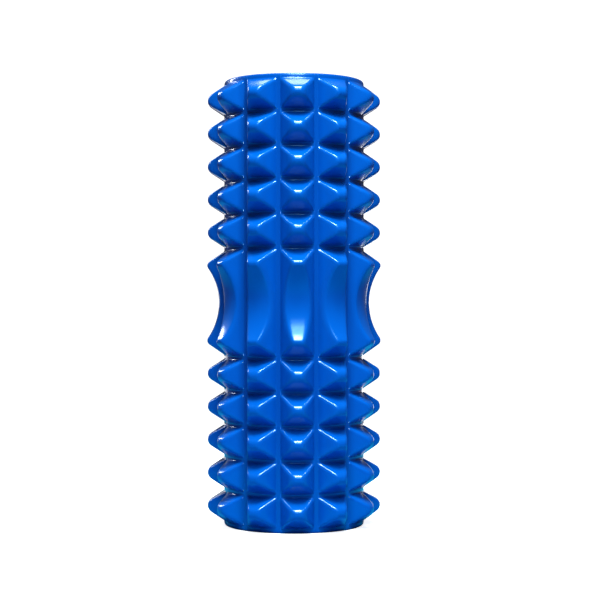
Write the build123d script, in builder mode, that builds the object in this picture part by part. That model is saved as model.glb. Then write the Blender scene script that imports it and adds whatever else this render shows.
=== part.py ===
from build123d import *
import math
import os

# A hollow foam roller that stands on one end: +Z runs along its axis, and the origin is the
# centre of the lower end face. All sizes are in millimetres.

# The core tube, and the adhesive that holds the sleeve on it
CORE_RADIUS = 45.0  # outside of the tube
CORE_WALL = 3.5
CORE_RECESS = 1.5  # tube end behind the sleeve's end face
CORE_CHAMFER = 0.8  # chamfer of the tube's four end edges
BOND_THICKNESS = 0.2
BOND_RECESS = 4.0  # end of the adhesive behind the sleeve's end face

# The foam sleeve
LENGTH = 330.0  # end face to end face
COLUMNS = 12  # columns of teeth round the roller, one of them facing +X
ROWS_PER_SIDE = 5  # rows of teeth on each side of the waist
END_RIM = 2.5  # end face to the outermost row's cell
END_ROUND = 2.2  # rounding of the end face's outer edge
SLEEVE_WALL = 6.8  # foam between the adhesive and the floor that the teeth stand on
GROOVE_WIDTH = 2.9  # bare floor between two columns
ROW_GAP = 2.9  # bare floor between two rows
EDGE_ROUND = 0.9  # rounding of the edges that run down a tooth or rib from its top

# One tooth, a rounded four-sided pyramid
TOOTH_RISE = 12.3  # floor to the top of the tip
TIP_ROUND = 5.4  # rounding of the tip, along the roller
TIP_WIDTH = 8.4  # width of the tip, round the roller

# One waist rib, with a hollow back between two crests
WAIST_LENGTH = 79.9  # room that the ribs take along the roller
CREST_INSET = 12.1  # end of that room to the centre of the crest's rounding
CREST_RISE = 12.7  # floor to the top of the crest
CREST_ROUND = 3.6  # rounding of the crest, along the roller
CREST_WIDTH = 8.0  # width of the crest, round the roller
BACK_RISE = 4.1  # floor to the lowest point of the hollow back

ROOT_DEPTH = 0.5  # how far teeth and ribs run on under the floor to join it

# Worked out from the sizes above
core_bore_radius = CORE_RADIUS - CORE_WALL
sleeve_bore_radius = CORE_RADIUS + BOND_THICKNESS
floor_radius = sleeve_bore_radius + SLEEVE_WALL
tip_radius = floor_radius + TOOTH_RISE
crest_radius = floor_radius + CREST_RISE
back_radius = floor_radius + BACK_RISE
row_pitch = (LENGTH - WAIST_LENGTH - 2 * END_RIM) / (2 * ROWS_PER_SIDE)
tooth_half_length = (row_pitch - ROW_GAP) / 2
rib_half_length = (WAIST_LENGTH - ROW_GAP) / 2
foot_angle = math.pi / COLUMNS - math.asin(GROOVE_WIDTH / 2 / floor_radius)
foot_out = floor_radius * math.cos(foot_angle)
foot_half_width = floor_radius * math.sin(foot_angle)


def flank(base_height, centre_height, centre_radius, rounding):
    """A flank in the side view, from the floor up to the rounding that it is tangent to.

    Points are (distance from the axis, height). The flank runs on under the floor by ROOT_DEPTH.
    Returns its lower end and the point where the rounding takes over.
    """
    along = centre_height - base_height
    up = centre_radius - floor_radius
    distance = math.hypot(along, up)
    outward = -math.copysign(1, along)
    lean = math.atan2(abs(along), up) - math.asin(rounding / distance)
    reach = math.sqrt(distance**2 - rounding**2)
    touch = (floor_radius + reach * math.cos(lean), base_height - outward * reach * math.sin(lean))
    root = (floor_radius - ROOT_DEPTH, base_height + outward * ROOT_DEPTH * math.tan(lean))
    return root, touch


def rounded_top(centre_height, centre_radius, rounding):
    """The outermost point of a rounding in the side view."""
    return centre_radius + rounding, centre_height


def cross_section(top_radius, width):
    """The section of a tooth or rib across the roller's axis, as four corners.

    The sides lean from the foot in to the given width at the top. They run on a little above the
    top, and far enough under the floor to hold the whole root.
    """
    slope = (foot_half_width - width / 2) / (top_radius - foot_out)
    inner = foot_out - 2 * ROOT_DEPTH
    outer = top_radius + EDGE_ROUND
    inner_half = foot_half_width + 2 * ROOT_DEPTH * slope
    outer_half = width / 2 - EDGE_ROUND * slope
    return [(inner, -inner_half), (outer, -outer_half), (outer, outer_half), (inner, inner_half)]


def side_edges(piece):
    """The edges that run from the floor over the top, on both side planes of a tooth or rib."""
    sides = piece.faces().filter_by(lambda face: abs(face.normal_at().Y) > 0.5)
    return sides.edges().filter_by(lambda edge: (edge @ 0.5).X > floor_radius)


# One tooth at mid-height zero, facing +X: a turned ring, cut down to one column's width
tip_centre = tip_radius - TIP_ROUND
tooth_low_root, tooth_low_touch = flank(-tooth_half_length, 0, tip_centre, TIP_ROUND)
tooth_high_root, tooth_high_touch = flank(tooth_half_length, 0, tip_centre, TIP_ROUND)
with BuildPart() as tooth:
    with BuildSketch(Plane.XZ):
        with BuildLine():
            Line(tooth_low_root, tooth_low_touch)
            ThreePointArc(tooth_low_touch, rounded_top(0, tip_centre, TIP_ROUND), tooth_high_touch)
            Line(tooth_high_touch, tooth_high_root)
            Line(tooth_high_root, tooth_low_root)
        make_face()
    revolve(axis=Axis.Z)
    with BuildSketch(Plane.XY.offset(-tooth_half_length - ROOT_DEPTH)):
        with BuildLine():
            Polyline(cross_section(tip_radius, TIP_WIDTH), close=True)
        make_face()
    extrude(amount=2 * (tooth_half_length + ROOT_DEPTH), mode=Mode.INTERSECT)
    fillet(side_edges(tooth), EDGE_ROUND)

# One waist rib at mid-height zero, facing +X, made in the same way
crest_height = WAIST_LENGTH / 2 - CREST_INSET
crest_centre = crest_radius - CREST_ROUND
dip = crest_centre - back_radius
back_round = (crest_height**2 + dip**2 - CREST_ROUND**2) / (2 * (CREST_ROUND + dip))
back_centre = back_radius + back_round
crest_share = CREST_ROUND / (CREST_ROUND + back_round)
back_touch_radius = crest_centre + (back_centre - crest_centre) * crest_share
back_touch_height = crest_height * (1 - crest_share)
rib_low_root, rib_low_touch = flank(-rib_half_length, -crest_height, crest_centre, CREST_ROUND)
rib_high_root, rib_high_touch = flank(rib_half_length, crest_height, crest_centre, CREST_ROUND)
low_back = (back_touch_radius, -back_touch_height)
high_back = (back_touch_radius, back_touch_height)
with BuildPart() as waist_rib:
    with BuildSketch(Plane.XZ):
        with BuildLine():
            Line(rib_low_root, rib_low_touch)
            ThreePointArc(
                rib_low_touch, rounded_top(-crest_height, crest_centre, CREST_ROUND), low_back
            )
            ThreePointArc(low_back, (back_radius, 0), high_back)
            ThreePointArc(
                high_back, rounded_top(crest_height, crest_centre, CREST_ROUND), rib_high_touch
            )
            Line(rib_high_touch, rib_high_root)
            Line(rib_high_root, rib_low_root)
        make_face()
    revolve(axis=Axis.Z)
    with BuildSketch(Plane.XY.offset(-rib_half_length - ROOT_DEPTH)):
        with BuildLine():
            Polyline(cross_section(crest_radius, CREST_WIDTH), close=True)
        make_face()
    extrude(amount=2 * (rib_half_length + ROOT_DEPTH), mode=Mode.INTERSECT)
    fillet(side_edges(waist_rib), EDGE_ROUND)

# A column: the teeth below the waist, the rib, and the teeth above it
first_row = END_RIM + row_pitch / 2
waist_top = (LENGTH + WAIST_LENGTH) / 2
lower_rows = [first_row + row * row_pitch for row in range(ROWS_PER_SIDE)]
upper_rows = [waist_top + (row + 0.5) * row_pitch for row in range(ROWS_PER_SIDE)]
with BuildPart() as tooth_column:
    with Locations(*[(0, 0, height) for height in lower_rows + upper_rows]):
        add(tooth.part)
    with Locations((0, 0, LENGTH / 2)):
        add(waist_rib.part)

# The foam sleeve: a round body with a rounded edge at each end, and the columns on it
with BuildPart() as foam_sleeve:
    with BuildSketch():
        Circle(floor_radius)
    extrude(amount=LENGTH)
    fillet(edges().filter_by(GeomType.CIRCLE), END_ROUND)
    with PolarLocations(0, COLUMNS):
        add(tooth_column.part)
    with Locations((0, 0, LENGTH / 2)):
        Cylinder(sleeve_bore_radius, LENGTH, mode=Mode.SUBTRACT)
foam_sleeve.part.label = "foam_sleeve"

# The core tube, a little shorter than the sleeve
with BuildPart() as core_tube:
    with BuildSketch(Plane.XY.offset(CORE_RECESS)):
        Circle(CORE_RADIUS)
        Circle(core_bore_radius, mode=Mode.SUBTRACT)
    extrude(amount=LENGTH - 2 * CORE_RECESS)
    chamfer(edges().filter_by(GeomType.CIRCLE), CORE_CHAMFER)
core_tube.part.label = "core_tube"

# The layer of adhesive between them
with BuildPart() as bond_layer:
    with BuildSketch(Plane.XY.offset(BOND_RECESS)):
        Circle(sleeve_bore_radius)
        Circle(CORE_RADIUS, mode=Mode.SUBTRACT)
    extrude(amount=LENGTH - 2 * BOND_RECESS)
bond_layer.part.label = "bond_layer"

os.makedirs("parts", exist_ok=True)
export_step(foam_sleeve.part, "parts/foam_sleeve.step")
export_step(core_tube.part, "parts/core_tube.step")
export_step(bond_layer.part, "parts/bond_layer.step")
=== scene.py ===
import math

import bpy
import numpy as np
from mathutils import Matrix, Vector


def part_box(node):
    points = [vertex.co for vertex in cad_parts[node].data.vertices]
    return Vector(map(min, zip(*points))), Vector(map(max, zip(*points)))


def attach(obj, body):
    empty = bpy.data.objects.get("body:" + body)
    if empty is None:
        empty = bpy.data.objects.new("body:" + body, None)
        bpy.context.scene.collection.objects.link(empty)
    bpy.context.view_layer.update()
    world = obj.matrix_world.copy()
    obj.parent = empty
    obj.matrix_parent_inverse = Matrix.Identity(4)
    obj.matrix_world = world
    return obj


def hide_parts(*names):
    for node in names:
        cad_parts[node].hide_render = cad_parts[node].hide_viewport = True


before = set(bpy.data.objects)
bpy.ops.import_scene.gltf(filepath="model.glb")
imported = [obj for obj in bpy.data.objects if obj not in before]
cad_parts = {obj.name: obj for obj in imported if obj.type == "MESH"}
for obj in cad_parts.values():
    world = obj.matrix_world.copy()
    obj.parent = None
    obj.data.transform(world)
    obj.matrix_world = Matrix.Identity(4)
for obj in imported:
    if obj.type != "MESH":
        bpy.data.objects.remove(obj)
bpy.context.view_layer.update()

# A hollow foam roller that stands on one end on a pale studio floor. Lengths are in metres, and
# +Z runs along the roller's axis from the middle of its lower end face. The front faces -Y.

MM = 0.001

# The foam sleeve
COLUMNS = 12
ROWS_PER_SIDE = 5
END_RIM = 2.5 * MM
END_ROUND = 2.2 * MM
FLOOR_RADIUS = 52.0 * MM  # axis to the round floor that the teeth stand on
GROOVE_WIDTH = 2.9 * MM
ROW_GAP = 2.9 * MM
TIP_RADIUS = 64.3 * MM
TIP_ROUND = 5.4 * MM
TIP_WIDTH = 9.6 * MM
WAIST_LENGTH = 79.9 * MM
CREST_INSET = 12.1 * MM
CREST_RADIUS = 64.7 * MM
CREST_ROUND = 3.6 * MM
WAIST_RADIUS = 56.1 * MM
BORE_ROUND = 0.5 * MM  # rounding of the bore's two mouths
EDGE_BLEND = 3.2 * MM  # how far two faces of a tooth run into each other at an edge
TIP_BLEND = 1.6 * MM  # how much wider that blend grows up at the tip
ROOT_BLEND = 0.8 * MM  # the same where a tooth meets the floor
MIN_SIDE = 0.06 * MM  # least width kept for a side, so that grid lines never meet
BLEND_CAPS = 0.8, 0.6, 0.4  # most that a blend takes of the ridge, and of the side at its two ends

# Steps of the sleeve's grid, span by span
TOOTH_STEPS = [3, 3, 8, 3, 3]  # gap, flank, tip, flank, gap
RIB_STEPS = [3, 3, 6, 20, 6, 3, 3]  # gap, flank, crest, hollow back, crest, flank, gap
SECTION_STEPS = [2, 3, 3, 4, 6, 4, 3, 3, 2]  # floor, foot, side, edge, ridge, and down again
RIM_STEPS = 5
MOUTH_STEPS = 3

# The core tube and the adhesive
CORE_WALL = 3.5 * MM
CORE_CHAMFER = 0.8 * MM
BOND_THICKNESS = 0.2 * MM
BOND_RECESS = 4.0 * MM
BOND_WANDER = 0.9 * MM  # how unevenly the adhesive ends
BOND_WAVES = 2, 5, 9, 17  # waves round each end
BOND_TURN = 60  # grid steps between the two ends' waves
CRISP = 0.08 * MM  # spacing of the doubled lines that keep a chamfer's corner sharp
LATHE_STEPS = 256

# The foam's colours and gloss
FOAM_BLUE = (0.0, 0.113, 0.46, 1)
FOAM_RUBBED = (0.003, 0.14, 0.50, 1)  # tips and crests
FOAM_PAINTED_SHADE = (0.0, 0.06, 0.29, 1)  # painted shade: the floor between the teeth, and the pit of each cut cell
FOAM_CUT = (0.003, 0.12, 0.46, 1)  # trimmed end faces and bore
RUBBED_SHARE = 0.35
# share of painted shade at the floor between the teeth
PAINTED_SHADE_SHARE = 0.45
FOAM_ROUGHNESS = 0.34
RUBBED_ROUGHNESS = 0.12  # added where the foam is rubbed
CUT_ROUGHNESS = 0.75
FOAM_SPECULAR = 0.35
FOAM_SPECULAR_TINT = (0.08, 0.45, 1.0, 1)
FOAM_COAT = 0.9
COAT_ROUGHNESS = 0.14
COAT_IOR = 1.45
CELL_SCALE = 1900.0  # cut cells per metre
CELL_HEIGHT = 0.12 * MM
PIT_SHADE_RAMP = 0.1, 0.6, 0.75, 0.1  # two distances in a cell, and how much painted shade the colour takes at each
RUBBED_DEPTH = 2.5 * MM  # from a tip down to where the foam is no longer rubbed
PAINTED_SHADE_REACH = 4 * MM  # from the floor up to where the painted shade ends
FACE_FADE = 0.25 * MM, 0.05 * MM  # depth under an end face where its cut look starts and is full
RIM_FADE = 0.4 * MM  # width over which that look ends at the rim
BORE_FADE = 0.1 * MM, 0.4 * MM  # the same outside the bore: full, and ended

# Patches of rubbed skin, the same on every material
PATCH_SCALE = 60.0  # noise cells per metre
PATCH_EDGE = 0.45, 0.75  # noise values where a patch starts and is full

# The colours of the core and the adhesive: clean, and in rubbed patches
CORE_BLACK = (0.016, 0.017, 0.019, 1)
CORE_RUBBED = (0.03, 0.031, 0.034, 1)
DRAW_LINE_HEIGHT = 0.025 * MM
DRAW_LINE_SCALE = 900.0
DRAW_STRETCH = (1, 1, 0.02)  # noise is drawn out along the tube
ADHESIVE_DARK = (0.42, 0.27, 0.08, 1)
ADHESIVE_PALE = (0.62, 0.47, 0.22, 1)

# The studio
FLOOR_REACH = 0.9  # half the side of the floor
FLOOR_SOLID = 0.45  # share of that reach before the floor starts to fade out
FLOOR_TONES = (0.88, 0.88, 0.88, 1), (0.92, 0.92, 0.92, 1)
FLOOR_TONE_SCALE = 3.0
FLOOR_LIFT = (0.7, 0.7, 0.7, 1)  # light that the floor adds to itself, which thins the shadow
FLOOR_BOUNCE = (0.02, 0.37, 0.54, 1)  # the floor's colour as the roller sees it
AMBIENT = 0.06  # strength of the white surroundings as a light on the roller
BOX_TINT = (0.55, 0.92, 1.0)
CORE_TINT = (0.86, 0.95, 1.0)
WHITE = (1.0, 1.0, 1.0)

# Each light: name, azimuth and elevation in degrees, distance, width and height, watts, colour
LIGHTS = (
    ("top_front_box", 3, 54, 1.6, (0.56, 0.82), 16, BOX_TINT),
    ("top_front_core", 3, 66.5, 1.5, (0.46, 0.46), 29, CORE_TINT),
    ("top_front_fade", 3, 37, 1.6, (0.56, 0.16), 1.6, BOX_TINT),
    ("top_front_faint", 3, 31, 1.6, (0.56, 0.18), 0.7, BOX_TINT),
    ("left_back_box", -131, 28, 1.7, (0.18, 0.6), 5, WHITE),
    ("back_box", 180, 56, 1.8, (0.6, 0.7), 5.5, CORE_TINT),
    ("left_low_strip", -155, -4, 1.0, (0.5, 0.16), 0.3, WHITE),
    ("right_low_strip", 155, -4, 1.0, (0.5, 0.16), 0.6, WHITE),
)

# The camera, level with the roller's middle and a little to the left of its front
CAMERA_TURN = math.radians(2.7)
CAMERA_DISTANCE = 1.195
CAMERA_AIM_RIGHT = math.radians(0.215)
CAMERA_AIM_UP = math.radians(0.11)
CAMERA_LENS = 96.0  # focal length and sensor width in millimetres
CAMERA_SENSOR = 36.0

# Sizes that follow from these and from the CAD frame
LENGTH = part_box("foam_sleeve")[1][2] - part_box("foam_sleeve")[0][2]
CORE_LOW, CORE_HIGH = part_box("core_tube")
CORE_RADIUS = (CORE_HIGH[0] - CORE_LOW[0]) / 2
BORE_RADIUS = CORE_RADIUS + BOND_THICKNESS
HALF_TURN = math.pi / COLUMNS
ROW_PITCH = (LENGTH - WAIST_LENGTH - 2 * END_RIM) / (2 * ROWS_PER_SIDE)
TOOTH_HALF = (ROW_PITCH - ROW_GAP) / 2
RIB_HALF = (WAIST_LENGTH - ROW_GAP) / 2
FOOT_ANGLE = HALF_TURN - math.asin(GROOVE_WIDTH / 2 / FLOOR_RADIUS)
FOOT_OUT = FLOOR_RADIUS * math.cos(FOOT_ANGLE)
FOOT_HALF = FLOOR_RADIUS * math.sin(FOOT_ANGLE)
GROOVE_T = FLOOR_RADIUS * math.sin(HALF_TURN)
SIDE_LEAN = (FOOT_HALF - TIP_WIDTH / 2) / (TIP_RADIUS - FOOT_OUT)
RIM_INSIDE = FLOOR_RADIUS - END_ROUND  # outer edge of the flat end face


def flank(base, centre, centre_radius, rounding):
    """A straight flank from the floor, tangent to a rounding.

    Returns its lean from the radial direction, and the height where the two touch. The lean is
    the bearing of the rounding's centre, seen from the flank's foot, less the angle that the
    rounding's radius fills at that distance.
    """
    along, up = base - centre, centre_radius - FLOOR_RADIUS
    distance = math.hypot(along, up)
    lean = math.atan2(along, up) - math.asin(rounding / distance)
    return lean, base - math.sqrt(distance**2 - rounding**2) * math.sin(lean)


TIP_CENTRE = TIP_RADIUS - TIP_ROUND
TOOTH_LEAN, TIP_TOUCH = flank(TOOTH_HALF, 0.0, TIP_CENTRE, TIP_ROUND)
CREST_HEIGHT = WAIST_LENGTH / 2 - CREST_INSET
CREST_CENTRE = CREST_RADIUS - CREST_ROUND
RIB_LEAN, CREST_TOUCH = flank(RIB_HALF, CREST_HEIGHT, CREST_CENTRE, CREST_ROUND)
DIP = CREST_CENTRE - WAIST_RADIUS
BACK_ROUND = (CREST_HEIGHT**2 + DIP**2 - CREST_ROUND**2) / (2 * (CREST_ROUND + DIP))
BACK_TOUCH = CREST_HEIGHT * BACK_ROUND / (CREST_ROUND + BACK_ROUND)


def smooth_min(a, b, blend):
    """The lower of a and b, less a parabola where they differ by under the blend."""
    near = np.maximum(blend - np.abs(a - b), 0.0) / blend
    return np.minimum(a, b) - near**2 * blend / 4


def smooth_max(a, b, blend):
    """The higher of a and b, plus a parabola where they differ by under the blend."""
    return -smooth_min(-a, -b, blend)


def stations(knots, counts):
    """Cuts each span between neighbouring knots into its own count of equal steps.

    A station is its span's first knot plus its share of the span. The last knot is left out.
    """
    span = np.repeat(np.arange(len(counts)), counts)
    share = np.concatenate([np.arange(count) / count for count in counts])
    return knots[..., span] + share * (knots[..., span + 1] - knots[..., span])


def tooth_ridge(offset):
    """Distance from the axis to the middle line of a tooth, at a height offset from its centre.

    A circular arc over the tip, and outside its touch points a straight flank.
    """
    away = np.abs(offset)
    arc = TIP_CENTRE + np.sqrt(np.maximum(TIP_ROUND**2 - away**2, 0.0))
    outside = FLOOR_RADIUS + (TOOTH_HALF - away) / math.tan(TOOTH_LEAN)
    return np.where(away < TIP_TOUCH, arc, outside)


def rib_ridge(offset):
    """The same for a waist rib: a hollow arc, then a round crest, then a straight flank."""
    away = np.abs(offset)
    back = WAIST_RADIUS + BACK_ROUND - np.sqrt(np.maximum(BACK_ROUND**2 - away**2, 0.0))
    crest = CREST_CENTRE + np.sqrt(np.maximum(CREST_ROUND**2 - (away - CREST_HEIGHT) ** 2, 0.0))
    outside = FLOOR_RADIUS + (RIB_HALF - away) / math.tan(RIB_LEAN)
    return np.select([away < BACK_TOUCH, away < CREST_TOUCH], [back, crest], outside)


def outer_lines():
    """Heights of the grid lines up the outside, with the ridge and the edge blend at each."""
    root = ROOT_BLEND * math.tan(TOOTH_LEAN)
    half = np.array([TIP_TOUCH, TOOTH_HALF - root, ROW_PITCH / 2])
    tooth_lines = stations(np.concatenate([-half[::-1], half]), TOOTH_STEPS)
    half = np.array([BACK_TOUCH, CREST_TOUCH, RIB_HALF - root, WAIST_LENGTH / 2])
    rib_lines = stations(np.concatenate([-half[::-1], half]), RIB_STEPS)
    tooth_ridges = tooth_ridge(tooth_lines)
    climbed = np.clip((tooth_ridges - FLOOR_RADIUS) / (TIP_RADIUS - FLOOR_RADIUS), 0, 1)
    tooth = tooth_lines, tooth_ridges, EDGE_BLEND + TIP_BLEND * climbed**3
    rib = rib_lines, rib_ridge(rib_lines), np.full(len(rib_lines), EDGE_BLEND)
    lower = [END_RIM + (row + 0.5) * ROW_PITCH for row in range(ROWS_PER_SIDE)]
    upper = [LENGTH - centre for centre in reversed(lower)]
    cells = [(tooth, c) for c in lower] + [(rib, LENGTH / 2)] + [(tooth, c) for c in upper]
    z = np.concatenate([lines + centre for (lines, _, _), centre in cells])
    ridge = np.concatenate([ridges for (_, ridges, _), _ in cells])
    blend = np.concatenate([blends for (_, _, blends), _ in cells])
    keep = (z > END_ROUND) & (z < LENGTH - END_ROUND)
    return z[keep], ridge[keep], blend[keep]


def edge_offset(ridge):
    """How far from the column's middle line the turned ridge meets the leaning side.

    A point s along the side from its foot lies at (FOOT_OUT + s, FOOT_HALF - lean * s). On the
    circle of the ridge's radius, s is a root of
    (1 + lean^2) s^2 + 2 (FOOT_OUT - lean FOOT_HALF) s = ridge^2 - FLOOR_RADIUS^2.
    """
    square = 1 + SIDE_LEAN**2
    half = FOOT_OUT - SIDE_LEAN * FOOT_HALF
    climb = (np.sqrt(half**2 + square * (ridge**2 - FLOOR_RADIUS**2)) - half) / square
    return FOOT_HALF - SIDE_LEAN * climb


def column_section(ridge, blend):
    """Grid points across one column at each height, as (distance out, distance across).

    A point lies on the lower of the ridge's circle and the column's leaning side, and on the
    floor's circle where that is higher. A circle of radius r is sqrt(r^2 - t^2) out at t across.
    The grid lines follow the edge where ridge and side meet.
    """
    lean = SIDE_LEAN
    edge = np.minimum(edge_offset(ridge), FOOT_HALF - MIN_SIDE)
    ridge_cap, top_cap, foot_cap = BLEND_CAPS
    inner = edge - np.minimum(blend * lean, ridge_cap * edge)
    outer = edge + np.minimum(blend * lean, top_cap * (FOOT_HALF - edge))
    root = FOOT_HALF - np.minimum(ROOT_BLEND * lean, foot_cap * (FOOT_HALF - edge))
    foot = np.full_like(edge, FOOT_HALF + ROOT_BLEND * lean)
    half = np.stack([inner, outer, root, foot, np.full_like(edge, GROOVE_T)], axis=1)
    t = stations(np.concatenate([-half[:, ::-1], half], axis=1), SECTION_STEPS)
    side = FOOT_OUT + (FOOT_HALF - np.abs(t)) / lean
    tooth = smooth_min(np.sqrt(ridge[:, None] ** 2 - t**2), side, blend[:, None])
    return smooth_max(tooth, np.sqrt(FLOOR_RADIUS**2 - t**2), ROOT_BLEND), t


def round_columns(out, across, z):
    """Repeats a column's section round the axis: each is turned by its share of a full turn."""
    angle = 2 * HALF_TURN * np.arange(COLUMNS)[None, :, None]
    out, across = out[:, None, :], across[:, None, :]
    x = out * np.cos(angle) - across * np.sin(angle)
    y = out * np.sin(angle) + across * np.cos(angle)
    points = np.stack([x, y, np.broadcast_to(z[:, None, None], x.shape)], axis=-1)
    return points.reshape(len(z), -1, 3)


def ring_mesh(name, points):
    """A closed mesh from a grid of points: rows go up the outside and back through the bore.

    Both directions close on themselves. A vertex normal is the cross product of the grid's two
    central differences there, so that a flat face stays flat beside a small rounding.
    """
    rows, around = points.shape[:2]
    index = np.arange(rows * around).reshape(rows, around)
    right, up = np.roll(index, -1, axis=1), np.roll(index, -1, axis=0)
    faces = np.stack([index, right, np.roll(up, -1, axis=1), up], axis=-1).reshape(-1, 4)
    along_u = np.roll(points, -1, axis=1) - np.roll(points, 1, axis=1)
    along_v = np.roll(points, -1, axis=0) - np.roll(points, 1, axis=0)
    normals = np.cross(along_u, along_v).reshape(-1, 3)
    normals /= np.linalg.norm(normals, axis=1, keepdims=True)
    mesh = bpy.data.meshes.new(name)
    mesh.from_pydata(points.reshape(-1, 3), [], faces)
    mesh.polygons.foreach_set("use_smooth", np.ones(len(faces), dtype=bool))
    mesh.update()
    mesh.normals_split_custom_set_from_vertices(normals)
    piece = bpy.data.objects.new(name, mesh)
    bpy.context.scene.collection.objects.link(piece)
    return piece


def make_sleeve():
    """The foam sleeve: columns of teeth outside, rounded rims, flat ends and a plain bore."""
    z, ridge, blend = outer_lines()
    out, across = column_section(ridge, blend)
    turn = np.linspace(0, math.pi / 2, RIM_STEPS + 1)[1:]
    inset, drop = END_ROUND * (1 - np.cos(turn)), END_ROUND * (1 - np.sin(turn))

    def rim(row, heights):
        """Rows that carry a section round the end's edge, drawn in by a quarter circle."""
        share = 1 - inset[:, None] / np.hypot(out[row], across[row])
        return round_columns(out[row] * share, across[row] * share, heights)

    outside = round_columns(out, across, z)
    top_rim, bottom_rim = rim(-1, LENGTH - drop), rim(0, drop)
    edge = top_rim[-1, :, :2]
    ray = edge / np.linalg.norm(edge, axis=1, keepdims=True)
    quarter = np.linspace(0, math.pi / 2, MOUTH_STEPS + 1)
    mouth_r = BORE_RADIUS + BORE_ROUND * (1 - np.sin(quarter))
    mouth_z = LENGTH - BORE_ROUND * (1 - np.cos(quarter))
    mouth_height = np.broadcast_to(mouth_z[:, None, None], (len(quarter), len(ray), 1))
    mouth = np.concatenate([ray[None] * mouth_r[:, None, None], mouth_height], axis=-1)
    share = np.array([1, 2])[:, None, None] / 3
    face = top_rim[-1] + share * (mouth[0] - top_rim[-1])
    low_share = share[::-1]
    flip = np.array([1.0, 1.0, -1.0])
    low_mouth = mouth[::-1] * flip + np.array([0, 0, LENGTH])
    low_face = bottom_rim[-1] + low_share * (low_mouth[-1] - bottom_rim[-1])
    wall = mouth[-1] + np.array([1, 2, 3])[:, None, None] / 4 * (low_mouth[0] - mouth[-1])
    rows = [bottom_rim[::-1], outside, top_rim, face, mouth, wall, low_mouth, low_face]
    return ring_mesh("sleeve_skin", np.concatenate(rows))


def lathe(name, radii, heights, steps=LATHE_STEPS):
    """A closed ring turned from a section.

    Row i of the grid goes once round the axis as (radii[i] cos a, radii[i] sin a, heights[i]).
    radii and heights are (points of the section) or (points of the section, steps) arrays.
    """
    angle = np.arange(steps) * 2 * math.pi / steps
    r = np.broadcast_to(np.asarray(radii).reshape(len(radii), -1), (len(radii), steps))
    z = np.broadcast_to(np.asarray(heights).reshape(len(heights), -1), (len(heights), steps))
    return ring_mesh(name, np.stack([r * np.cos(angle), r * np.sin(angle), z], axis=-1))


def make_core():
    """The core tube: a wall with chamfered corners, each line doubled to keep it crisp."""
    low, high = CORE_LOW[2], CORE_HIGH[2]
    inner, outer, cut = CORE_RADIUS - CORE_WALL, CORE_RADIUS, CORE_CHAMFER
    radii = [outer, outer, outer, outer - CRISP, outer - cut, outer - cut - CRISP]
    radii += [inner + cut + CRISP, inner + cut, inner + CRISP, inner, inner, inner]
    base = high - cut
    climb = [base - 2 * CRISP, base - CRISP, base, base + CRISP, high, high]
    climb += climb[::-1]
    fall = [low + high - z for z in climb]
    radii = radii + radii[::-1]
    return lathe("core_wall", np.array(radii), np.array(climb + fall))


def make_bond():
    """The adhesive: a thin ring whose ends wander by the sum of sin(n a + 1.7 n) / n."""
    angle = np.arange(LATHE_STEPS) * 2 * math.pi / LATHE_STEPS
    wander = sum(np.sin(n * angle + 1.7 * n) / n for n in BOND_WAVES) * BOND_WANDER
    low, high = BOND_RECESS + wander, LENGTH - BOND_RECESS + np.roll(wander, BOND_TURN)
    radii = np.array([BORE_RADIUS, BORE_RADIUS, CORE_RADIUS, CORE_RADIUS])
    return lathe("adhesive_film", radii, np.stack([low, high, high, low]))


def new_material(name):
    """An empty node material and its Principled shader."""
    material = bpy.data.materials.new(name)
    material.use_nodes = True
    return material, material.node_tree.nodes["Principled BSDF"]


class Wiring:
    """Adds nodes to a tree. An input is given as a value or as another node's output."""

    def __init__(self, tree):
        self.tree = tree

    def node(self, kind, inputs=(), **settings):
        """A node with its settings, and with its inputs filled in by name or number."""
        made = self.tree.nodes.new(kind)
        for key, value in settings.items():
            setattr(made, key, value)
        for key, value in dict(inputs).items():
            self.put(value, made.inputs[key])
        return made

    def put(self, value, socket):
        """Links an output to a socket, or sets the socket to a value."""
        if isinstance(value, bpy.types.NodeSocket):
            self.tree.links.new(value, socket)
        else:
            socket.default_value = value

    def math(self, operation, *values):
        """The result of one arithmetic step."""
        return self.node("ShaderNodeMath", enumerate(values), operation=operation).outputs[0]

    def noise(self, vector, scale, detail=2.0, roughness=0.5):
        """Smooth noise between 0 and 1, with a number of cells per metre."""
        inputs = {"Vector": vector, "Scale": scale, "Detail": detail, "Roughness": roughness}
        return self.node("ShaderNodeTexNoise", inputs).outputs["Fac"]

    def ramp(self, value, low, high, to_low=0.0, to_high=1.0):
        """Carries a value from one range to another, held at both ends."""
        inputs = {"Value": value, 1: low, 2: high, 3: to_low, 4: to_high}
        return self.node("ShaderNodeMapRange", inputs).outputs[0]

    def mix(self, share, first, second):
        """Mixes two colours. Inputs 0, 6 and 7 are a colour mix's factor, A and B."""
        made = self.node("ShaderNodeMix", {0: share}, data_type="RGBA")
        self.put(first, made.inputs[6])
        self.put(second, made.inputs[7])
        return made.outputs[2]

    def bump(self, height):
        """The normal of a surface raised by a height in metres."""
        inputs = {"Height": height, "Strength": 1.0, "Distance": 1.0}
        return self.node("ShaderNodeBump", inputs).outputs[0]

    def place(self):
        """The point of the surface in the roller's own frame."""
        return self.node("ShaderNodeTexCoord").outputs["Object"]


def new_group(name, inputs, outputs):
    """A shader node group: its tree, its wiring, its input sockets and its output sockets."""
    tree = bpy.data.node_groups.new(name, "ShaderNodeTree")
    for label, kind, value in inputs:
        socket = tree.interface.new_socket(label, in_out="INPUT", socket_type=kind)
        socket.default_value = value
    for label, kind in outputs:
        tree.interface.new_socket(label, in_out="OUTPUT", socket_type=kind)
    given, result = tree.nodes.new("NodeGroupInput"), tree.nodes.new("NodeGroupOutput")
    return tree, Wiring(tree), given.outputs, result.inputs


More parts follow.
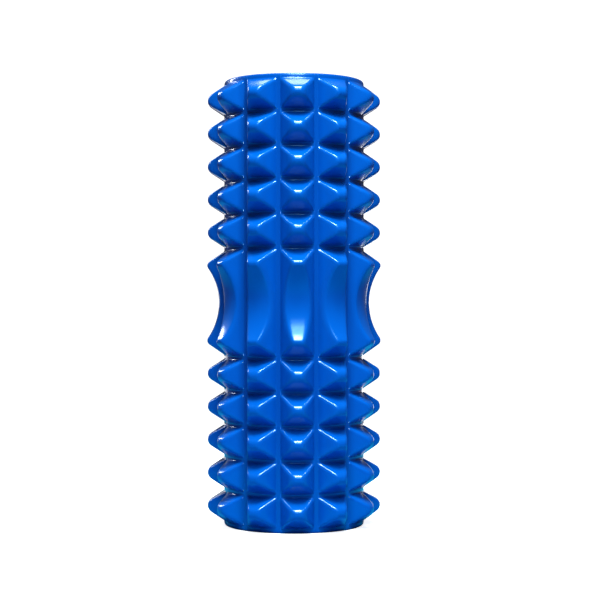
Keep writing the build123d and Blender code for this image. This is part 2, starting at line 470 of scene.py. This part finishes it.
def skin_grain_group():
    """Grain and unevenness of a moulded or extruded skin.

    Height is fine noise over broad noise, in metres. A third noise gives rubbed, a mask of
    soft-edged patches, and swings the roughness.
    """
    number = "NodeSocketFloat"
    inputs = [("Grain Scale", number, 900.0), ("Grain Height", number, 0.00001)]
    inputs += [("Wave Scale", number, 40.0), ("Wave Height", number, 0.00005)]
    inputs += [("Roughness", number, 0.4), ("Roughness Swing", number, 0.1)]
    outputs = [("Height", number), ("Roughness", number), ("Rubbed", number)]
    tree, wire, given, result = new_group("skin_grain", inputs, outputs)
    place = wire.place()
    grain = wire.noise(place, given["Grain Scale"], 3.0, 0.6)
    wave = wire.noise(place, given["Wave Scale"], 1.0)
    height = wire.math("MULTIPLY", grain, given["Grain Height"])
    wire.put(wire.math("MULTIPLY_ADD", wave, given["Wave Height"], height), result["Height"])
    patches = wire.noise(place, PATCH_SCALE, 4.0, 0.65)
    wire.put(wire.ramp(patches, *PATCH_EDGE), result["Rubbed"])
    swing = wire.math("MULTIPLY", wire.math("SUBTRACT", patches, 0.5), given["Roughness Swing"])
    wire.put(wire.math("ADD", given["Roughness"], swing), result["Roughness"])
    return tree


def add_group(wire, tree, **values):
    """Places a group in a material. A keyword names its input, with underscores for spaces."""
    made = wire.tree.nodes.new("ShaderNodeGroup")
    made.node_tree = tree
    for key, value in values.items():
        wire.put(value, made.inputs[key.replace("_", " ")])
    return made.outputs


def radius_of(wire, place):
    """Distance from the roller's axis."""
    flat = wire.node("ShaderNodeVectorMath", {0: place, 1: (1, 1, 0)}, operation="MULTIPLY")
    length = wire.node("ShaderNodeVectorMath", {0: flat.outputs[0]}, operation="LENGTH")
    return length.outputs["Value"]


def foam_material(grain):
    """Closed-cell foam with a glossy moulded skin; the cells show at the trimmed ends and bore.

    The skin is a strong dark blue under a clear gloss. Tips and crests are a little lighter and
    duller where they rub. Painted shade darkens the colour toward the floor between the teeth. On
    the flat of the two end faces and in the bore, a Voronoi pattern of 0.5 mm cells stands in for
    the cut foam, with painted shade in the pit of each cell.
    """
    material, shader = new_material("blue_moulded_foam")
    wire = Wiring(material.node_tree)
    place = wire.place()
    skin = add_group(wire, grain, Grain_Scale=1400.0, Grain_Height=2e-6, Wave_Scale=75.0,
                     Wave_Height=2.5e-5, Roughness=FOAM_ROUGHNESS, Roughness_Swing=0.12)
    radius = radius_of(wire, place)
    up = wire.node("ShaderNodeSeparateXYZ", {0: place}).outputs[2]
    above = wire.math("ABSOLUTE", wire.math("SUBTRACT", up, LENGTH / 2))
    at_end = wire.ramp(above, *[LENGTH / 2 - depth for depth in FACE_FADE])
    in_bore = wire.ramp(radius, *[BORE_RADIUS + reach for reach in BORE_FADE], 1.0, 0.0)
    inside_rim = wire.ramp(radius, RIM_INSIDE - RIM_FADE, RIM_INSIDE, 1.0, 0.0)
    cut = wire.math("MAXIMUM", wire.math("MULTIPLY", at_end, inside_rim), in_bore)
    voronoi = wire.node("ShaderNodeTexVoronoi", {"Vector": place, "Scale": CELL_SCALE})
    cells = voronoi.outputs["Distance"]
    at_tip = wire.ramp(radius, TIP_RADIUS - RUBBED_DEPTH, TIP_RADIUS)
    worn = wire.math("MULTIPLY", at_tip, skin["Rubbed"])
    # Painted shade: the colour darkens toward the floor between the teeth
    painted_shade = wire.ramp(radius, FLOOR_RADIUS, FLOOR_RADIUS + PAINTED_SHADE_REACH, 1.0, 0.0)
    colour = wire.mix(wire.math("MULTIPLY", worn, RUBBED_SHARE), FOAM_BLUE, FOAM_RUBBED)
    colour = wire.mix(wire.math("MULTIPLY", painted_shade, PAINTED_SHADE_SHARE), colour, FOAM_PAINTED_SHADE)
    # Painted shade in the pit of each cut cell
    pit_shade = wire.ramp(cells, *PIT_SHADE_RAMP)
    cut_colour = wire.mix(pit_shade, FOAM_CUT, FOAM_PAINTED_SHADE)
    wire.put(wire.mix(cut, colour, cut_colour), shader.inputs["Base Color"])
    rough = wire.math("MULTIPLY_ADD", worn, RUBBED_ROUGHNESS, skin["Roughness"])
    rough = wire.math("MAXIMUM", rough, wire.math("MULTIPLY", cut, CUT_ROUGHNESS))
    wire.put(rough, shader.inputs["Roughness"])
    wire.put(wire.ramp(cut, 0.0, 1.0, FOAM_COAT, 0.0), shader.inputs["Coat Weight"])
    shader.inputs["Coat Roughness"].default_value = COAT_ROUGHNESS
    shader.inputs["Coat IOR"].default_value = COAT_IOR
    shader.inputs["Specular IOR Level"].default_value = FOAM_SPECULAR
    shader.inputs["Specular Tint"].default_value = FOAM_SPECULAR_TINT
    cell_height = wire.math("MULTIPLY", wire.math("MULTIPLY", cells, cut), CELL_HEIGHT)
    height = wire.math("ADD", skin["Height"], cell_height)
    wire.put(wire.bump(height), shader.inputs["Normal"])
    return material


def core_material(grain):
    """Extruded black plastic: satin, with faint draw lines along the tube."""
    material, shader = new_material("black_core_plastic")
    wire = Wiring(material.node_tree)
    place = wire.place()
    skin = add_group(wire, grain, Grain_Scale=700.0, Grain_Height=8e-6, Wave_Scale=30.0,
                     Wave_Height=4e-5, Roughness=0.38, Roughness_Swing=0.16)
    drawn = wire.node("ShaderNodeMapping", {"Vector": place, "Scale": DRAW_STRETCH}).outputs[0]
    lines = wire.noise(drawn, DRAW_LINE_SCALE)
    height = wire.math("MULTIPLY_ADD", lines, DRAW_LINE_HEIGHT, skin["Height"])
    wire.put(wire.mix(skin["Rubbed"], CORE_BLACK, CORE_RUBBED), shader.inputs["Base Color"])
    wire.put(skin["Roughness"], shader.inputs["Roughness"])
    wire.put(wire.bump(height), shader.inputs["Normal"])
    return material


def adhesive_material(grain):
    """Cured contact adhesive: amber, uneven in tone and lumpy."""
    material, shader = new_material("cured_adhesive")
    wire = Wiring(material.node_tree)
    skin = add_group(wire, grain, Grain_Scale=500.0, Grain_Height=4e-5, Wave_Scale=160.0,
                     Wave_Height=1e-4, Roughness=0.42, Roughness_Swing=0.3)
    wire.put(wire.mix(skin["Rubbed"], ADHESIVE_DARK, ADHESIVE_PALE), shader.inputs["Base Color"])
    wire.put(skin["Roughness"], shader.inputs["Roughness"])
    wire.put(wire.bump(skin["Height"]), shader.inputs["Normal"])
    return material


def floor_material():
    """Matt white studio floor with a barely uneven tone, which fades out towards its edge.

    Light that bounces from it to the roller is kept down and blue, as a blue card would do.
    """
    material, shader = new_material("pale_floor")
    wire = Wiring(material.node_tree)
    place = wire.place()
    tone = wire.noise(place, FLOOR_TONE_SCALE)
    white = wire.mix(tone, *FLOOR_TONES)
    seen = wire.tree.nodes.new("ShaderNodeLightPath").outputs["Is Camera Ray"]
    wire.put(wire.mix(seen, FLOOR_BOUNCE, white), shader.inputs["Base Color"])
    wire.put(wire.mix(seen, (0, 0, 0, 1), FLOOR_LIFT), shader.inputs["Emission Color"])
    shader.inputs["Emission Strength"].default_value = 1.0
    solid = wire.ramp(radius_of(wire, place), FLOOR_SOLID * FLOOR_REACH, FLOOR_REACH, 1.0, 0.0)
    wire.put(solid, shader.inputs["Alpha"])
    shader.inputs["Roughness"].default_value = 0.8
    shader.inputs["Specular IOR Level"].default_value = 0.0
    return material


def make_stage():
    """A square of pale floor under the roller."""
    corner = np.array([[-1, -1, 0], [1, -1, 0], [1, 1, 0], [-1, 1, 0]]) * FLOOR_REACH
    mesh = bpy.data.meshes.new("studio_floor")
    mesh.from_pydata(corner, [], [(0, 1, 2, 3)])
    floor = bpy.data.objects.new("studio_floor", mesh)
    bpy.context.scene.collection.objects.link(floor)
    floor.data.materials.append(floor_material())


def softbox(name, azimuth, elevation, distance, size, power, colour):
    """A rectangular light that faces the roller's middle. Azimuth 0 is the front."""
    a, e = math.radians(azimuth), math.radians(elevation)
    data = bpy.data.lights.new(name, "AREA")
    data.shape = "RECTANGLE"
    data.size, data.size_y = size
    data.energy = power
    data.color = colour
    light = bpy.data.objects.new(name, data)
    away = np.array([math.sin(a) * math.cos(e), -math.cos(a) * math.cos(e), math.sin(e)])
    light.location = away * distance + np.array([0, 0, LENGTH / 2])
    light.rotation_euler = (math.pi / 2 - e, 0, a)
    light.visible_camera = False
    bpy.context.scene.collection.objects.link(light)


def make_camera():
    """A level camera in front of the roller, at the height of its middle."""
    data = bpy.data.cameras.new("camera")
    data.sensor_width = CAMERA_SENSOR
    data.lens = CAMERA_LENS
    camera = bpy.data.objects.new("camera", data)
    left = CAMERA_DISTANCE * math.sin(CAMERA_TURN)
    front = CAMERA_DISTANCE * math.cos(CAMERA_TURN)
    camera.location = (-left, -front, LENGTH / 2)
    camera.rotation_euler = (math.pi / 2 + CAMERA_AIM_UP, 0, -CAMERA_TURN - CAMERA_AIM_RIGHT)
    bpy.context.scene.collection.objects.link(camera)
    bpy.context.scene.camera = camera


def make_world():
    """White all round where it is looked at, and much dimmer as a light on the roller."""
    world = bpy.data.worlds.new("studio_air")
    world.use_nodes = True
    wire = Wiring(world.node_tree)
    seen = wire.tree.nodes.new("ShaderNodeLightPath").outputs["Is Camera Ray"]
    background = wire.tree.nodes["Background"]
    background.inputs["Color"].default_value = (1, 1, 1, 1)
    wire.put(wire.ramp(seen, 0.0, 1.0, AMBIENT, 1.0), background.inputs["Strength"])
    bpy.context.scene.world = world


sleeve, core, bond = make_sleeve(), make_core(), make_bond()
skin_grain = skin_grain_group()
sleeve.data.materials.append(foam_material(skin_grain))
core.data.materials.append(core_material(skin_grain))
bond.data.materials.append(adhesive_material(skin_grain))
for piece, node, slot in (
    (sleeve, "foam_sleeve", "blue_foam"),
    (core, "core_tube", "core_plastic"),
    (bond, "bond_layer", "adhesive"),
):
    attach(piece, "root")
    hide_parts(node)

make_stage()
for light in LIGHTS:
    softbox(*light)
make_world()
make_camera()
bpy.context.scene.view_settings.view_transform = "Standard"
bpy.context.scene.view_settings.look = "Medium High Contrast"
